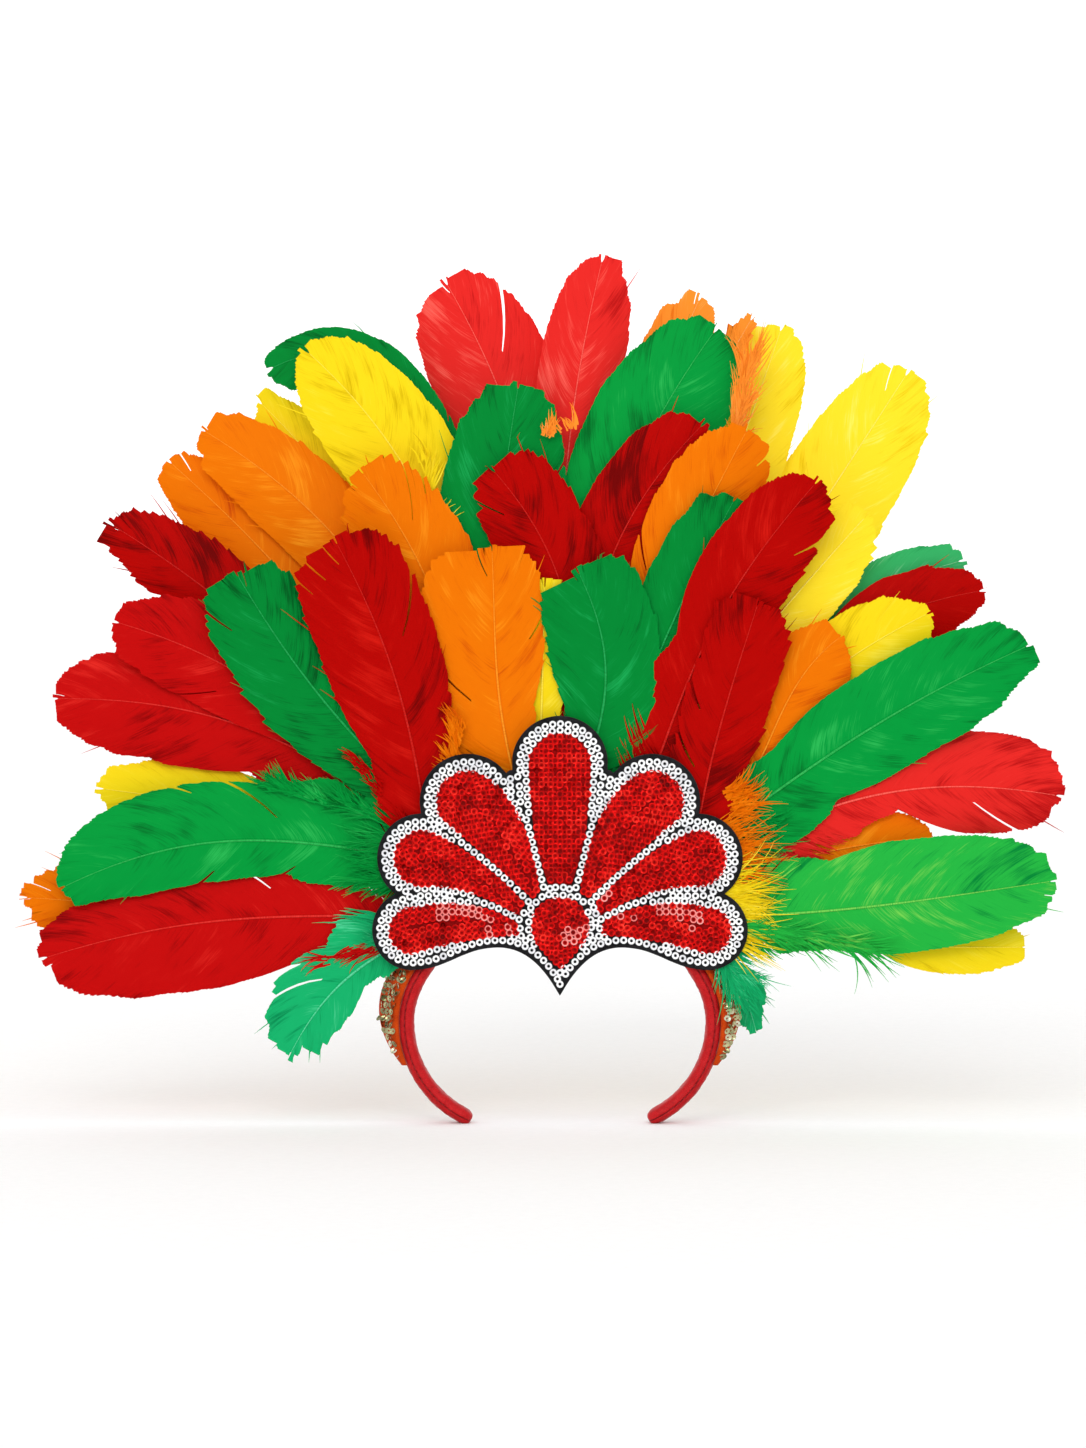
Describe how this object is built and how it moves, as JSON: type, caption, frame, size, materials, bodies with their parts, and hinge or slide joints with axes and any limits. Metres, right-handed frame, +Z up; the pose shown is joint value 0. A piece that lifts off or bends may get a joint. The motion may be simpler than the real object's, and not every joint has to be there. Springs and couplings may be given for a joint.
{
  "type": "carnival feather headdress",
  "caption": "Padded satin headband with a sequinned felt crest of petals, side trims and a wide fan of dyed feathers.",
  "frame": {"origin": "top of the inside of the headband, where it sits on the crown of the head", "axes": "+Z up out of the head, -Y the way the wearer looks, +X to the right as seen from the front"},
  "size_m": [0.437, 0.0788, 0.3651],
  "materials": {
    "red_satin": "smooth satin, lengthwise seam",
    "black_felt": "matt felt",
    "white_sequins": "cup sequins, pearly white to silver",
    "red_sequins": "cup sequins, glossy",
    "orange_felt": "matt felt",
    "gold_sequins": "gold and silver sequins",
    "red_feather": "dyed feather, soft sheen",
    "green_feather": "dyed feather, soft sheen",
    "orange_feather": "dyed feather, soft sheen",
    "yellow_feather": "dyed feather, soft sheen"
  },
  "bodies": {
    "root": {"headband": "red_satin", "crest_backing": "black_felt", "crest_border": "white_sequins", "petal_left_lower": "red_sequins", "petal_left_middle": "red_sequins", "petal_left_upper": "red_sequins", "petal_centre": "red_sequins", "petal_right_upper": "red_sequins", "petal_right_middle": "red_sequins", "petal_right_lower": "red_sequins", "crest_drop": "red_sequins", "feather_block": "black_felt", "side_trim_left": "orange_felt", "side_sequins_left": "gold_sequins", "side_trim_right": "orange_felt", "side_sequins_right": "gold_sequins", "feather_left_fluff_green": "green_feather", "feather_left_long_red": "red_feather", "feather_left_tip_orange": "orange_feather", "feather_left_long_green": "green_feather", "feather_left_long_yellow": "yellow_feather", "feather_left_wide_red": "red_feather", "feather_left_coral_red": "red_feather", "feather_left_dark_red": "red_feather", "feather_left_upright_green": "green_feather", "feather_left_front_red": "red_feather", "feather_left_low_orange": "orange_feather", "feather_left_high_orange": "orange_feather", "feather_left_inner_orange": "orange_feather", "feather_left_tall_yellow": "yellow_feather", "feather_left_back_yellow": "yellow_feather", "feather_left_curled_green": "green_feather", "feather_centre_orange": "orange_feather", "feather_centre_yellow": "yellow_feather", "feather_top_left_red": "red_feather", "feather_top_centre_red": "red_feather", "feather_top_left_green": "green_feather", "feather_top_right_green": "green_feather", "feather_top_back_orange": "orange_feather", "feather_top_wisp_orange": "orange_feather", "feather_top_right_yellow": "yellow_feather", "feather_top_far_yellow": "yellow_feather", "feather_centre_dark_red": "red_feather", "feather_right_dark_red": "red_feather", "feather_right_tall_orange": "orange_feather", "feather_right_dark_green": "green_feather", "feather_right_tall_red": "red_feather", "feather_right_back_yellow": "yellow_feather", "feather_centre_green": "green_feather", "feather_right_front_red": "red_feather", "feather_right_inner_orange": "orange_feather", "feather_right_long_yellow": "yellow_feather", "feather_right_pale_green": "green_feather", "feather_right_back_red": "red_feather", "feather_right_long_green": "green_feather", "feather_right_coral_red": "red_feather", "feather_right_short_orange": "orange_feather", "feather_right_low_green": "green_feather", "feather_right_low_yellow": "yellow_feather", "feather_right_fluff_green": "green_feather"}
  },
  "joints": []
}
